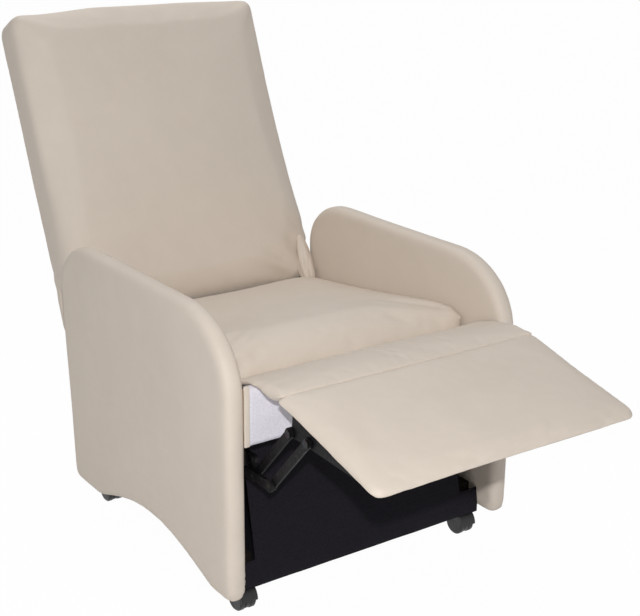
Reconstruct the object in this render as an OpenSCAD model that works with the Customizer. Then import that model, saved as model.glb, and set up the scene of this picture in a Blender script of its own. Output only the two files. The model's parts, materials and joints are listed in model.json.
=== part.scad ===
/* [Side panels] */
// Clear width between the two side panels
inner_w = 550; // [520:5:600]
// Thickness of a side panel
panel_t = 38; // [32:1:46]
// Depth of a side panel at arm height
panel_d = 628; // [600:5:680]
// How far the foot of a side panel stands in at the rear
panel_foot_in = 22; // [0:1:40]
// Underside of the side panels above the floor
panel_z = 52; // [50:1:58]
// Height of the arms
arm_z = 552; // [530:2:600]
// Length of the rounded front of an arm
arm_nose_l = 155; // [120:5:180]
// Height of the rounded front of an arm
arm_nose_h = 132; // [100:2:150]
// Height of the arch cut under each panel
arch_h = 50; // [30:1:70]
// Length of that arch
arch_l = 430; // [380:5:450]

/* [Seat] */
// Front of the seat cushion behind the panel fronts
seat_y = 100; // [90:1:120]
// Height of the seat cushion at its front
seat_front_z = 450; // [430:2:480]
// Height of the seat cushion at its rear
seat_rear_z = 384; // [370:2:400]
// Thickness of the seat cushion
seat_t = 88; // [70:2:100]
// Crown of the seat cushion
seat_crown = 9; // [4:1:14]

/* [Backrest] */
// Length of the backrest above the crease
back_l = 628; // [560:2:680]
// Clearance between the foot of the backrest and each side panel
back_side_gap = 9; // [9:0.5:16]
// How far the backrest spreads over each side panel above its foot
back_spread = 5; // [0:1:10]
// Thickness of the whole backrest
back_t = 118; // [100:2:130]
// Thickness of its front cushion at the edge
back_pad_t = 44; // [36:1:54]
// Angle of the backrest from upright
back_lean = 23; // [15:1:30]
// Crown of the backrest's cushion
back_crown = 12; // [6:1:18]

/* [Footrest] */
// Length of the footrest pad
pad_l = 251; // [220:1:280]
// Clearance between the footrest pad and each side panel
pad_side_gap = 13; // [13:0.5:20]
// Thickness of the footrest pad
pad_t = 34; // [28:1:40]
// Slope of the footrest, front edge down
pad_tilt = 14; // [8:1:20]
// Height of the rear top edge of the pad
pad_z = 451; // [440:1:470]
// How far that edge stands ahead of the panels
pad_out = 95; // [85:1:110]
// Length of the flap between the seat and the footrest
flap_l = 77; // [60:1:78]
// Thickness of that flap
flap_t = 15; // [10:1:18]

/* [Footrest linkage] */
// Height of the crank pivot
crank_z = 272; // [268:1:280]
// Depth of the crank pivot behind the panel fronts
crank_y = 125; // [120:1:132]
// Length of the crank from its pivot to the front link
crank_l = 159; // [152:1:162]
// Distance between the two links on the crank
link_gap = 50; // [46:1:56]
// Length of the two parallel links
link_l = 149; // [145:1:154]
// Angle of the links above horizontal
link_rise = 48; // [45:1:52]
// Length of the tail of the rear link
tail_l = 28; // [26:1:32]
// Angle of that tail above horizontal
tail_rise = 47.5; // [45:0.5:50]
// Length of the drive link
drive_l = 138.5; // [134:0.5:142]
// Thickness of the linkage bars
bar_t = 5; // [4:0.5:5]
// Width of the linkage bars
bar_w = 19; // [16:1:20]
// Radius of the pivot pins
pin_r = 4; // [3:0.5:5]

/* [Casters] */
// Radius of a caster wheel
wheel_r = 23; // [20:1:24]
// Width of one caster wheel
wheel_w = 12; // [9:1:14]
// Distance from the swivel axis to the axle
trail = 14; // [10:1:16]
// Distance of the swivel axes from the side panels
caster_in = 25; // [23:1:35]
// Swivel axis of the front casters behind the panel fronts
caster_front_y = 78; // [78:1:84]
// Swivel axis of the rear casters ahead of the panels' rear
caster_rear_in = 72; // [68:1:100]
// Extra height of a caster's hood over its wheels
hood_wall = 2; // [1.5:0.5:3]

/* [Hidden] */

// Colours
leather = [0.79, 0.73, 0.66];
lining = [0.80, 0.79, 0.81];
black_cloth = [0.11, 0.09, 0.12];
timber = [0.72, 0.56, 0.38];
black_steel = [0.12, 0.11, 0.13];
zinc = [0.62, 0.63, 0.65];
nylon = [0.09, 0.09, 0.10];

// One overrun for every cut, and the gaps between neighbours
over = 1;
soft_gap = 0.5;
seat_gap = 0.3;
run_gap = 0.05;
bar_gap = 1;

// Parts of a round used by the soft forms
corner_steps = 4;
side_cells = 5;
pull_span = 300;
edge_steps = 3;
crown_steps = 3;
crown_rest = 0.4;
seat_cells = 10;
arm_cells = 9;

// Side panels
panel_edge_r = 11;
panel_corner_r = 18;
panel_crown = 2;
arm_heel_l = 110;
arm_heel_h = 98;
heel_z = arm_z - arm_heel_h;
arch_mid_y = 285;
arch_cells = 12;
panel_in_x = inner_w / 2;

// Timber of the seat frame and the base
rail_t = 12;
rail_h = 44;
rail_x = panel_in_x - seat_gap - rail_t;
front_rail_y = 6;
front_rail_t = 22;
front_rail_low_z = 338;
front_rail_top_z = 424;
rail_end_y = panel_d - 62;
rail_drop = 3;
lower_rail_t = 16;
lower_rail_h = 12;
lower_rail_z = 52;
lower_rear_y = rail_end_y;
lower_rear_z = 78;
lower_rear_h = 44;
lining_t = 1.2;
lining_w = inner_w - 14;
strap_t = 2.5;
strap_w = 46;
strap_n = 5;

// Seat cushion
seat_w = inner_w - 2 * soft_gap;
seat_edge_r = 16;
seat_corner_r = 34;
seat_ridge_l = 42;
seat_nose_drop = 16;
seat_nose_r = 20;
seat_end_y = panel_d - 9;
seat_heel = 8;
seat_under_z = seat_rear_z - seat_t;

// Front and rear covers of the base
cover_t = 3;
cover_low_z = 45;
cover_y = 43;
cover_lean = 7;
cover_wide_h = 34;
cover_h = 256;
cover_slot_x = panel_in_x - 41;
rear_cover_low_z = 66;
rear_cover_top_z = 290;
cloth_t = 2.5;

// Backrest, in its own frame: s along it from the crease, t through it
back_crease_y = panel_d - 4;
back_w = inner_w + 2 * back_spread;
foot_w = inner_w - 2 * back_side_gap;
back_crease_z = seat_rear_z;
back_foot_s = 10;
back_shell_foot_s = 36;
back_edge_r = 16;
back_corner_r = 24;
back_pull = 1;
back_round_in = 3;
neck_s = 84;
neck_r = 8;
shoulder_s = 104;
shoulder_r = 12;
frame_t = 20;
frame_gap = 0.6;
frame_drop = 2;
pocket_room = 3;
pocket_r = 6;
back_seam_r = 2;
shell_crown = 2;
frame_bar = 55;
frame_inset = 26;
frame_l = back_l - frame_inset - frame_drop;
hinge_s = 10;
hinge_t = 52;
hinge_r = 5;
plate_t = 4;
hinge_plate_w = 34;
hinge_plate_l = 64;
hinge_plate_drop = 111;
bracket_l = 48;
bracket_w = 30;
wing_w = 22;
wing_pull = 5;
wing_crown = 2;
wing_l = 48;
wing_d = 30;
wing_s = 27;
wing_t = 3;
wing_r = 5;

// Footrest
pad_w = inner_w - 2 * pad_side_gap;
pad_r = 10;
pad_corner_r = 24;
pad_crown = 5;
pad_pull = 2;
board_t = 9;
board_inset = 30;
board_side_gap = 8.4;
flap_w = inner_w - 62;
flap_root_w = inner_w - 14;
flap_edge_r = 6;
flap_bulge = 12;
flap_pivot_y = -2;
flap_pivot_z = front_rail_top_z + over;

// Planes of the linkage, counted inwards from the seat rails
plate_x = rail_x - plate_t - seat_gap;
crank_x = plate_x - bar_gap - bar_t;
link_x = crank_x - bar_gap - bar_t;
inner_x = link_x - bar_gap - bar_t;
board_w = 2 * (inner_x - board_side_gap);
head_t = 2.5;
head_r = 7;
tube_r = 10;
crank_w = bar_w + 3;
plate_tail = [42, -7];
tube_wall = 2;
crank_rise = 1.5;
drive_rise = 3.2;
pin_slack = 0.7;
plate_w = 30;
shank_share = 0.8;

// Casters
hood_gap = 0.8;
axle_r = 3;
hub_gap = 0.4;
web_w = 8;
web_in = 1.2;
stem_r = 4;
stem_h = 24;
socket_wall = 2;
collar_t = 2;
block_half_w = 23;
caster_x = panel_in_x - caster_in;
cloth_w = 2 * (caster_x - block_half_w - over);
block_front = 8;
block_d = 40;
block_h = 46;
block_rear = 30;
tyre_round = 2.5;
axle_z = wheel_r;
hood_r = wheel_r + hood_gap + hood_wall;

// Depth of the whole chair, which puts the origin under its middle
back_reach_y = back_crease_y + back_l * sin(back_lean) + back_t * cos(back_lean)
    - back_round_in;
front_reach_y = -pad_out - pad_l * cos(pad_tilt) + over;
depth_centre = (back_reach_y + front_reach_y) / 2;

// Pivots of the linkage at rest, as [y, z]
function polar(len, deg) = len * [cos(deg), sin(deg)];
crank_pivot = [crank_y, crank_z];
crank_dir = 180 - crank_rise;
front_link_low = crank_pivot + polar(crank_l, crank_dir);
rear_link_low = crank_pivot + polar(crank_l - link_gap, crank_dir);
front_link_top = front_link_low + polar(link_l, 180 - link_rise);
rear_link_top = rear_link_low + polar(link_l, 180 - link_rise);
tail_pivot = rear_link_low + polar(tail_l, tail_rise);
drive_pivot = tail_pivot + polar(drive_l, drive_rise);

// Backrest and footrest frames
function on_back(s, t) = [back_crease_y, back_crease_z]
    + s * [sin(back_lean), cos(back_lean)] + t * [cos(back_lean), -sin(back_lean)];
hinge_pivot = on_back(hinge_s, hinge_t);

module place() translate([0, -depth_centre, 0]) children();

// Draws a [y, z] outline as a sheet from x to x + t
module sheet(x, t) translate([x, 0, 0]) rotate([90, 0, 90]) linear_extrude(t) children();

// The same sheet on the left and on the right
module both() { children(); mirror([1, 0, 0]) children(); }

function unit(v) = v / norm(v);

// Points of a corner b between a and c, rounded over the length r
function bend(a, b, c, r) = let(p = b + r * unit(a - b), q = b + r * unit(c - b))
    [for (i = [0:corner_steps]) let(k = i / corner_steps)
        (1 - k) * (1 - k) * p + 2 * k * (1 - k) * b + k * k * q];

// A closed outline from corners [x, y, rounding]
function soft_outline(c) = [for (i = [0:len(c) - 1])
    let(a = c[(i + len(c) - 1) % len(c)], b = c[i], d = c[(i + 1) % len(c)])
    each bend([a[0], a[1]], [b[0], b[1]], [d[0], d[1]], b[2])];

// A closed outline from corners [x, y, rounding] whose sides are split and pull in between them
function pulled(c, pull) = [for (i = [0:len(c) - 1])
    let(n = len(c), a = c[(i + n - 1) % n], b = c[i], d = c[(i + 1) % n],
        from = [a[0], a[1]], at = [b[0], b[1]], to = [d[0], d[1]], u = unit(to - at),
        p = at + b[2] * u, q = to - d[2] * u, dip = pull * min(1, norm(q - p) / pull_span))
    each concat(bend(from, at, to, b[2]),
        [for (j = [1:side_cells - 1]) let(k = j / side_cells)
            p + k * (q - p) + 4 * dip * k * (1 - k) * [-u[1], u[0]]])];

// A rounded rectangle whose sides pull in between its corners
function drawn_in(w, h, r, pull) = pulled([[-w / 2, -h / 2, r], [w / 2, -h / 2, r],
    [w / 2, h / 2, r], [-w / 2, h / 2, r]], pull);

// An outline moved inwards by d
function inset(p, d) = [for (i = [0:len(p) - 1])
    let(a = p[(i + len(p) - 1) % len(p)], b = p[i], c = p[(i + 1) % len(p)],
        u = unit(b - a), w = unit(c - b), n = unit([-u[1] - w[1], u[0] + w[0]]))
    b + d * n / max(0.5, n * [-u[1], u[0]])];

// An outline drawn towards its middle by the share k
function drawn(p, mid, k) = [for (q = p) mid + k * (q - mid)];
function raised(p, z) = [for (q = p) [q[0], q[1], z]];

// A closed solid through rings of as many points each, lowest ring first, with a fan at both ends
function middle(ring) = [for (p = ring) 1] * ring / len(ring);
module skin(rings) {
    n = len(rings[0]);
    m = len(rings);
    polyhedron(
        points = concat([for (r = rings) each r], [middle(rings[0]), middle(rings[m - 1])]),
        faces = concat(
            [for (i = [0:n - 1]) [i, (i + 1) % n, m * n]],
            [for (k = [0:m - 2], i = [0:n - 1]) each [
                [k * n + i, (k + 1) * n + i, (k + 1) * n + (i + 1) % n],
                [k * n + i, (k + 1) * n + (i + 1) % n, k * n + (i + 1) % n]]],
            [for (i = [0:n - 1]) [(m - 1) * n + (i + 1) % n, (m - 1) * n + i, m * n + 1]]));
}

// Rings of a rounded edge, from the flat of a face to the side of the piece
function edge_rings(p, r, z, up) = [for (i = [0:edge_steps]) let(a = 90 * i / edge_steps)
    raised(inset(p, r * (1 - cos(a))), z + up * r * (sin(a) - 1))];

// Rings of a crowned face over its edge
function crown_rings(p, mid, r, z, up, crown) = [for (i = [1:crown_steps])
    let(k = cos(90 * i / (crown_steps + crown_rest)))
    raised(drawn(inset(p, r), mid, k), z + up * crown * (1 - k * k))];
function turned(v) = [for (i = [len(v) - 1:-1:0]) v[i]];

// A padded body over an outline, from z = 0 to z = t, with its own edge and crown below and above
function padded_rings(p, mid, t, r_low, crown_low, r_top, crown_top) = concat(
    turned(crown_rings(p, mid, r_low, 0, -1, crown_low)), turned(edge_rings(p, r_low, 0, -1)),
    edge_rings(p, r_top, t, 1), crown_rings(p, mid, r_top, t, 1, crown_top));

// Outline of a side panel: foot, arched underside, rounded heel and nose of the arm
function quarter(c, rx, ry, a0, a1, n) = [for (i = [0:n]) let(a = a0 + (a1 - a0) * i / n)
    c + [rx * cos(a), ry * sin(a)]];
panel_outline = concat(
    [for (i = [0:arch_cells]) let(k = 2 * i / arch_cells - 1)
        [arch_mid_y + k * arch_l / 2, panel_z + arch_h * cos(90 * k)]],
    bend([arch_mid_y, panel_z], [panel_d - panel_foot_in, panel_z], [panel_d, heel_z], panel_corner_r),
    quarter([panel_d - arm_heel_l, heel_z], arm_heel_l, arm_heel_h, 0, 90, arm_cells - 1),
    quarter([arm_nose_l, arm_z - arm_nose_h], arm_nose_l, arm_nose_h, 90, 180, arm_cells),
    bend([0, arm_z], [0, panel_z], [arch_mid_y, panel_z], panel_corner_r));

module side_panel() sheet_skin(panel_in_x, padded_rings(panel_outline,
    [panel_d / 2, (panel_z + arm_z) / 2], panel_t, panel_edge_r, 0, panel_edge_r, panel_crown));

// Rings drawn over [y, z] outlines, set at x
module sheet_skin(x, rings) translate([x, 0, 0]) rotate([90, 0, 90]) skin(rings);

// Rings drawn over [s, t] outlines of the backrest
module on_back_frame() translate([0, back_crease_y, back_crease_z]) rotate([-back_lean, 0, 0]) children();

module side_panel_left() color(leather) place() mirror([1, 0, 0]) side_panel();
module side_panel_right() color(leather) place() side_panel();

// Timber frame
module front_rail() color(timber) place()
    translate([-panel_in_x + seat_gap, front_rail_y, front_rail_low_z])
        cube([inner_w - 2 * seat_gap, front_rail_t, front_rail_top_z - front_rail_low_z]);

module rail_lining() color(lining) place()
    translate([-lining_w / 2, front_rail_y - lining_t, front_rail_low_z])
        cube([lining_w, lining_t, front_rail_top_z - front_rail_low_z]);

function rail_low(y) = seat_under_z + (front_rail_low_z - seat_under_z)
    * (rail_end_y - y) / (rail_end_y - front_rail_y) - rail_drop;

module seat_rail() sheet(rail_x, rail_t) polygon([
    [front_rail_y + front_rail_t, rail_low(front_rail_y) - rail_h],
    [rail_end_y, rail_low(rail_end_y) - rail_h], [rail_end_y, rail_low(rail_end_y)],
    [front_rail_y + front_rail_t, rail_low(front_rail_y)]]);
module seat_rail_left() color(timber) place() mirror([1, 0, 0]) seat_rail();
module seat_rail_right() color(timber) place() seat_rail();

module seat_rear_rail() color(timber) place()
    translate([-panel_in_x + seat_gap, rail_end_y, rail_low(rail_end_y) - rail_h])
        cube([inner_w - 2 * seat_gap, lower_rail_t, rail_h]);

module lower_front_rail() color(timber) place()
    translate([-panel_in_x + seat_gap, cover_y + cover_t + seat_gap, lower_rail_z])
        cube([inner_w - 2 * seat_gap, lower_rail_t - seat_gap, lower_rail_h]);

module lower_rear_rail() color(timber) place()
    translate([-panel_in_x + seat_gap, lower_rear_y, lower_rear_z])
        cube([inner_w - 2 * seat_gap, lower_rail_t, lower_rear_h]);

strap_slope = atan((rail_low(front_rail_y) - rail_low(rail_end_y)) / (rail_end_y - front_rail_y));
strap_from_y = front_rail_y + front_rail_t;
strap_len = (rail_end_y - strap_from_y) / cos(strap_slope);
module seat_webbing() color(black_cloth) place()
    translate([0, strap_from_y, rail_low(strap_from_y)]) rotate([-strap_slope, 0, 0]) {
        for (i = [0:strap_n - 1])
            translate([rail_x * ((2 * i + 1) / strap_n - 1) - strap_w / 2, 0, -strap_t])
                cube([strap_w, strap_len, strap_t]);
        for (i = [0:strap_n - 1])
            translate([-rail_x, strap_len * (i + 0.5) / strap_n - strap_w / 2, -strap_t])
                cube([2 * rail_x, strap_w, strap_t]);
    }

// Seat cushion: its side profile is carried across the seat, rounded at both ends and crowned
function seat_profile(d, rise) = inset(soft_outline([
    [seat_y, seat_front_z - seat_t, panel_corner_r],
    [seat_end_y - seat_heel, seat_under_z, panel_corner_r],
    [seat_end_y, seat_rear_z, seat_edge_r],
    [seat_y + seat_ridge_l, seat_front_z + rise, seat_corner_r],
    [seat_y, seat_front_z - seat_nose_drop, seat_nose_r]]), d);
module seat_cushion() color(leather) place() sheet_skin(0, concat(
    [for (i = [0:edge_steps]) let(a = 90 * i / edge_steps)
        raised(seat_profile(seat_edge_r * (1 - sin(a)), 0), -seat_w / 2 + seat_edge_r * (1 - cos(a)))],
    [for (i = [1:seat_cells - 1]) let(k = 2 * i / seat_cells - 1)
        raised(seat_profile(0, seat_crown * (1 - k * k)), k * (seat_w / 2 - seat_edge_r))],
    [for (i = [edge_steps:-1:0]) let(a = 90 * i / edge_steps)
        raised(seat_profile(seat_edge_r * (1 - sin(a)), 0), seat_w / 2 - seat_edge_r * (1 - cos(a)))]));

// Flap between the seat and the footrest: its wide root lies over the front rail, its apron is free
flap_root_z = front_rail_top_z + seat_gap;
flap_split_y = flap_pivot_y;
function flap_profile(from_y, to_y, z, rise) = soft_outline([
    [from_y, z, flap_edge_r], [to_y, z, flap_edge_r],
    [to_y, z + flap_t, flap_edge_r],
    [(from_y + to_y) / 2, z + flap_t + rise, flap_t],
    [from_y, z + flap_t, flap_edge_r]]);
module flap_body(w, from_y, to_y, z, rise) sheet_skin(0, concat(
    [for (i = [0:edge_steps]) let(a = 90 * i / edge_steps)
        raised(inset(flap_profile(from_y, to_y, z, rise), flap_edge_r * (1 - sin(a))),
            -w / 2 + flap_edge_r * (1 - cos(a)))],
    [for (i = [edge_steps:-1:0]) let(a = 90 * i / edge_steps)
        raised(inset(flap_profile(from_y, to_y, z, rise), flap_edge_r * (1 - sin(a))),
            w / 2 - flap_edge_r * (1 - cos(a)))]));
module flap_root() color(leather) place()
    flap_body(flap_root_w, flap_split_y + seat_gap / 2, seat_y - soft_gap, flap_root_z, 0);
module flap() color(leather) place()
    flap_body(flap_w, flap_split_y - flap_l, flap_split_y - seat_gap / 2, flap_root_z, flap_bulge);

// Cover of the base: it wraps the lower rail, leans back above it and is cut away at the linkage
cover_lip_z = lower_rail_z + lower_rail_h + seat_gap;
cover_lean_y = cover_y + lower_rail_t + cover_t;
cover_top = [cover_lean_y, cover_lip_z] + cover_h * [sin(cover_lean), cos(cover_lean)];
module front_cover() color(black_cloth) place() difference() {
    sheet(-panel_in_x + seat_gap, inner_w - 2 * seat_gap) polygon([[cover_y, cover_low_z],
        [cover_y + cover_t, cover_low_z], [cover_y + cover_t, cover_lip_z],
        [cover_lean_y, cover_lip_z], cover_top, cover_top - [cover_t, 0],
        [cover_lean_y - cover_t, cover_lip_z + cover_t], [cover_y, cover_lip_z + cover_t]]);
    for (side = [-1, 1]) translate([side * panel_in_x, cover_lean_y, cover_lip_z + cover_wide_h + cover_h])
        cube([2 * (panel_in_x - cover_slot_x), cover_h, 2 * cover_h], center = true);
}
module rear_cover() color(black_cloth) place()
    translate([-panel_in_x + seat_gap, lower_rear_y + lower_rail_t + seat_gap, rear_cover_low_z])
        cube([inner_w - 2 * seat_gap, cover_t, rear_cover_top_z - rear_cover_low_z]);

// Dust cloth under the base, from the front cover to the underside of the lower rear rail
cloth_rear_z = lower_rear_z - seat_gap;
module dust_cloth() color(black_cloth) place()
    sheet(-cloth_w / 2, cloth_w) polygon([[cover_lean_y + seat_gap, cover_lip_z],
        [lower_rear_y + lower_rail_t, cloth_rear_z - cloth_t], [lower_rear_y + lower_rail_t, cloth_rear_z],
        [cover_lean_y + seat_gap, cover_lip_z + cloth_t]]);

// Bars of the linkage: a round eye at each pivot and a narrower shank between them
module bar_blank(a, b, w) {
    translate(a) circle(w / 2);
    translate(b) circle(w / 2);
    translate(a) rotate(atan2(b[1] - a[1], b[0] - a[0])) translate([0, -w * shank_share / 2])
        square([norm(b - a), w * shank_share]);
}
module hole(p, r) translate(p) circle(r);

module linkage_plate() sheet(plate_x, plate_t) difference() {
    union() {
        bar_blank(crank_pivot, drive_pivot, plate_w);
        bar_blank(drive_pivot, drive_pivot + plate_tail, plate_w);
    }
    hole(crank_pivot, pin_r + run_gap);
    hole(drive_pivot, pin_r + run_gap);
}
module linkage_plate_left() color(black_steel) place() mirror([1, 0, 0]) linkage_plate();
module linkage_plate_right() color(black_steel) place() linkage_plate();

// A pin through the planes from x0 to x1, with a head inside
module pin(p, x0, x1) {
    sheet(x0, x1 - x0) hole(p, pin_r);
    sheet(x0 - head_t, head_t) hole(p, head_r);
}
module pin_out(p, x0, x1) {
    sheet(x0, x1 - x0) hole(p, pin_r);
    sheet(x1, head_t) hole(p, head_r);
}
module linkage_pins() color(zinc) place() both() {
    pin(crank_pivot, crank_x - seat_gap, plate_x + plate_t);
    pin(drive_pivot, inner_x - seat_gap, plate_x + plate_t);
    sheet(inner_x + bar_t + seat_gap, plate_x - inner_x - bar_t - 2 * seat_gap) hole(drive_pivot, head_r);
}

module crank() sheet(crank_x, bar_t) difference() {
    bar_blank(crank_pivot, front_link_low, crank_w);
    hole(crank_pivot, pin_r + run_gap);
    hole(rear_link_low, pin_r + run_gap);
    hole(front_link_low, pin_r + run_gap);
}
module crank_left() color(black_steel) place() mirror([1, 0, 0]) crank();
module crank_right() color(black_steel) place() crank();
module crank_pins() color(zinc) place() both() {
    pin(rear_link_low, link_x - seat_gap, crank_x + bar_t);
    pin(front_link_low, link_x - seat_gap, crank_x + bar_t);
}
module link_holes(a, b) {
    hole(a, pin_r + run_gap);
    hole(b, pin_r + run_gap);
}
module front_links() color(black_steel) place() both() sheet(link_x, bar_t) difference() {
    bar_blank(front_link_low, front_link_top, bar_w);
    link_holes(front_link_low, front_link_top);
}
module rear_links() color(black_steel) place() both() {
    sheet(link_x, bar_t) difference() {
        union() {
            bar_blank(rear_link_low, rear_link_top, bar_w);
            bar_blank(rear_link_low, tail_pivot, bar_w);
        }
        link_holes(rear_link_low, rear_link_top);
    }
    sheet(inner_x - seat_gap, bar_t + bar_gap + seat_gap) hole(tail_pivot, pin_r);
    sheet(inner_x - seat_gap - head_t, head_t) hole(tail_pivot, head_r);
}
module drive_links() color(black_steel) place() both() sheet(inner_x, bar_t) difference() {
    bar_blank(tail_pivot, drive_pivot, bar_w);
    hole(tail_pivot, pin_r + pin_slack);
    hole(drive_pivot, pin_r + run_gap);
}

module drive_tube() color(black_steel) place() sheet(-inner_x, 2 * inner_x) difference() {
    hole(drive_pivot, tube_r);
    hole(drive_pivot, tube_r - tube_wall);
}

// Footrest, in its own frame: along the pad from its rear top edge, and down through it
module on_pad() translate([0, -pad_out, pad_z]) rotate([pad_tilt, 0, 0]) children();
module footrest_pad() color(leather) place() on_pad() translate([0, -pad_l / 2, -pad_t])
    skin(padded_rings(drawn_in(pad_w, pad_l, pad_corner_r, pad_pull), [0, 0], pad_t,
        pad_r, 0, pad_r, pad_crown));
module footrest_board() color(timber) place() on_pad()
    translate([-board_w / 2, -pad_l + board_inset, -pad_t - seat_gap - board_t])
        cube([board_w, pad_l - 2 * board_inset, board_t]);

pad_under = [-pad_out, pad_z] + (pad_t + seat_gap) * [sin(pad_tilt), -cos(pad_tilt)];
pad_fore = pad_under + polar(pad_l - 2 * board_inset, 180 + pad_tilt);
module footrest_brackets() color(black_steel) place() both() sheet(inner_x, bar_t) difference() {
    union() {
        bar_blank(front_link_top, rear_link_top, bar_w);
        polygon([pad_under, pad_fore, front_link_top + [0, -bar_w / 2], front_link_top, rear_link_top]);
    }
    link_holes(front_link_top, rear_link_top);
}
module bracket_pins() color(zinc) place() both() {
    pin_out(front_link_top, inner_x, link_x + bar_t + seat_gap);
    pin_out(rear_link_top, inner_x, link_x + bar_t + seat_gap);
}

// Timber frame of the backrest: two stiles with three rails butted between them
module back_frame() color(timber) place() on_back_frame()
    translate([0, back_pad_t + frame_gap, 0]) rotate([90, 0, 0]) mirror([0, 0, 1])
        linear_extrude(frame_t) {
            for (side = [-1, 1])
                translate([side * ((foot_w - frame_bar) / 2 - frame_inset), frame_l / 2])
                    square([frame_bar, frame_l], center = true);
            for (k = [0:2]) translate([0, frame_bar / 2 + k * (frame_l - frame_bar) / 2])
                square([foot_w - 2 * (frame_inset + frame_bar + seat_gap), frame_bar], center = true);
        }

// Outline of the backrest about its middle: a foot between the side panels, a wider body above.
// It starts at foot below the crease and stands in by d all round
function back_outline(foot, d, r, pull) = let(m = (back_l - foot) / 2, low = -foot - m + d,
    top = back_l - m - d, f = foot_w / 2 - d, w = back_w / 2 - d) pulled([
        [-f, low, r], [f, low, r], [f, neck_s - m, neck_r], [w, shoulder_s - m, shoulder_r],
        [w, top, r], [-w, top, r], [-w, shoulder_s - m, shoulder_r], [-f, neck_s - m, neck_r]], pull);

module back_cushion() color(leather) place() on_back_frame()
    translate([0, back_pad_t, (back_l - back_foot_s) / 2]) rotate([90, 0, 0])
        skin(padded_rings(back_outline(back_foot_s, 0, back_corner_r, back_pull), [0, 0],
            back_pad_t, back_seam_r, 0, back_edge_r, back_crown));

// The rear cover of the backrest is a deep shell with a pocket for the frame
shell_t = back_t - back_pad_t - frame_gap;
pocket_in = frame_inset - frame_gap - pocket_room;
pocket = back_outline(back_shell_foot_s, pocket_in, pocket_r, pocket_room / 2);
shell_outline = back_outline(back_shell_foot_s, 0, back_corner_r, back_pull);
module back_cover() color(leather) place() on_back_frame()
    translate([0, back_t, (back_l - back_shell_foot_s) / 2]) rotate([90, 0, 0])
        skin(concat(
            turned(crown_rings(shell_outline, [0, 0], back_edge_r, 0, -1, shell_crown)),
            turned(edge_rings(shell_outline, back_edge_r, 0, -1)),
            edge_rings(shell_outline, back_seam_r, shell_t, 1),
            [raised(pocket, shell_t), raised(pocket, shell_t - frame_t - frame_gap)]));

// Padded ears at the foot of the backrest, beside its cushion
module back_wing() on_back_frame()
    translate([foot_w / 2 + seat_gap, wing_t + wing_d / 2, wing_s + wing_l / 2])
    rotate([90, 0, 90]) skin(padded_rings(drawn_in(wing_d, wing_l, 2 * wing_r, wing_pull), [0, 0], wing_w,
        wing_r / 2, 0, wing_r, wing_crown));
module back_wing_left() color(leather) place() mirror([1, 0, 0]) back_wing();
module back_wing_right() color(leather) place() back_wing();

// Steel straps on the sides of the backrest and the plates that carry their pivots
strap_x = foot_w / 2 + seat_gap;
module back_bracket() sheet(strap_x, plate_t) difference() {
    bar_blank(hinge_pivot, hinge_pivot + bracket_l * [sin(back_lean), cos(back_lean)], bracket_w);
    hole(hinge_pivot, hinge_r + run_gap);
}
module back_bracket_left() color(black_steel) place() mirror([1, 0, 0]) back_bracket();
module back_bracket_right() color(black_steel) place() back_bracket();
hinge_plate_x = panel_in_x - seat_gap - plate_t;
module hinge_plate() sheet(hinge_plate_x, plate_t) difference() {
    bar_blank(hinge_pivot, hinge_pivot - [hinge_plate_l, hinge_plate_drop], hinge_plate_w);
    hole(hinge_pivot, hinge_r + run_gap);
}
module hinge_plate_left() color(black_steel) place() mirror([1, 0, 0]) hinge_plate();
module hinge_plate_right() color(black_steel) place() hinge_plate();
module hinge_pins() color(zinc) place() both()
    sheet(strap_x, hinge_plate_x + plate_t - strap_x) hole(hinge_pivot, hinge_r);

// Casters: swivel axis at [x, y], wheels trailing by k towards the rear
caster_places = [[-caster_x, caster_front_y, -1], [caster_x, caster_front_y, -1],
    [-caster_x, panel_d - caster_rear_in, 1], [caster_x, panel_d - caster_rear_in, 1]];
module caster_place(i) place() translate([caster_places[i][0], caster_places[i][1], 0])
    rotate([0, 0, caster_places[i][2] > 0 ? 0 : 180]) children();
module across(r, w, y, z) translate([-w / 2, y, z]) rotate([0, 90, 0]) cylinder(r = r, h = w);
caster_w = web_w + 2 * (hood_gap + wheel_w);
module caster_hood() {
    difference() {
        union() {
            intersection() {
                across(hood_r, caster_w, trail, axle_z);
                translate([-caster_w, trail - 2 * hood_r, axle_z])
                    cube([2 * caster_w, 4 * hood_r, 2 * hood_r]);
            }
            across(wheel_r - web_in, web_w, trail, axle_z);
            translate([0, 0, axle_z]) cylinder(r = stem_r + 2 * hood_wall, h = hood_r);
        }
        for (s = [-1, 1]) translate([s * (web_w / 2 + caster_w / 2), 0, 0])
            across(wheel_r + hood_gap, caster_w, trail, axle_z);
        across(axle_r, caster_w + over, trail, axle_z);
        translate([0, 0, axle_z + stem_r]) cylinder(r = stem_r, h = 2 * hood_r);
        translate([-caster_w, -2 * hood_r, panel_z - collar_t]) cube([2 * caster_w, 4 * hood_r, hood_r]);
    }
}
module caster_stem() {
    translate([0, 0, axle_z + stem_r]) cylinder(r = stem_r - run_gap, h = panel_z + stem_h - axle_z - stem_r);
}
module caster_wheels() {
    for (s = [-1, 1]) translate([s * (web_w / 2 + hub_gap + wheel_w / 2), 0, 0])
        translate([-wheel_w / 2, trail, axle_z]) rotate([0, 90, 0]) rotate_extrude() polygon([
            [0, 0], [wheel_r - tyre_round, 0], [wheel_r, tyre_round], [wheel_r, wheel_w - tyre_round],
            [wheel_r - tyre_round, wheel_w], [0, wheel_w]]);
    across(axle_r - run_gap, caster_w - 2 * hub_gap, trail, axle_z);
}
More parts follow.
